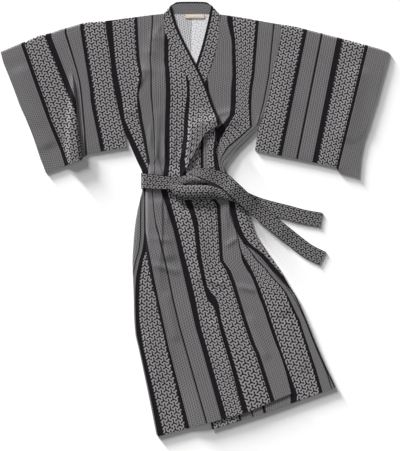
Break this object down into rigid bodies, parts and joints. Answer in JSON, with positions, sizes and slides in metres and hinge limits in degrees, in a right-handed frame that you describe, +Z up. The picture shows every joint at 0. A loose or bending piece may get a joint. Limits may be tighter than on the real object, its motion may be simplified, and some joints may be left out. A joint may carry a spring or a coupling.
{
  "type": "cotton yukata robe",
  "caption": "Cotton summer robe with square sleeves, crossed fronts and a collar band, laid flat and tied at the waist with its own belt.",
  "frame": {"origin": "On the surface the robe lies on, under the middle of its box.", "axes": "+X towards the wearer's left sleeve, +Y from the hem to the collar, +Z up, away from the surface."},
  "size_m": [1.3124, 1.4689, 0.018],
  "materials": {
    "back_right": "matte",
    "back_left": "matte",
    "front_right": "matte",
    "front_left": "matte",
    "overlap_right": "matte",
    "overlap_left": "matte",
    "collar": "matte",
    "sleeve_right": "matte",
    "sleeve_left": "matte",
    "label": "matte",
    "belt_band": "matte",
    "belt_knot_turn": "matte",
    "belt_end_lower": "matte",
    "belt_end_upper": "matte"
  },
  "bodies": {
    "root": {"back_right": "back_right", "back_left": "back_left", "front_right": "front_right", "front_left": "front_left", "overlap_right": "overlap_right", "overlap_left": "overlap_left", "collar": "collar", "sleeve_right": "sleeve_right", "sleeve_left": "sleeve_left", "label": "label", "belt_band": "belt_band", "belt_knot_turn": "belt_knot_turn", "belt_end_lower": "belt_end_lower", "belt_end_upper": "belt_end_upper"}
  },
  "joints": []
}
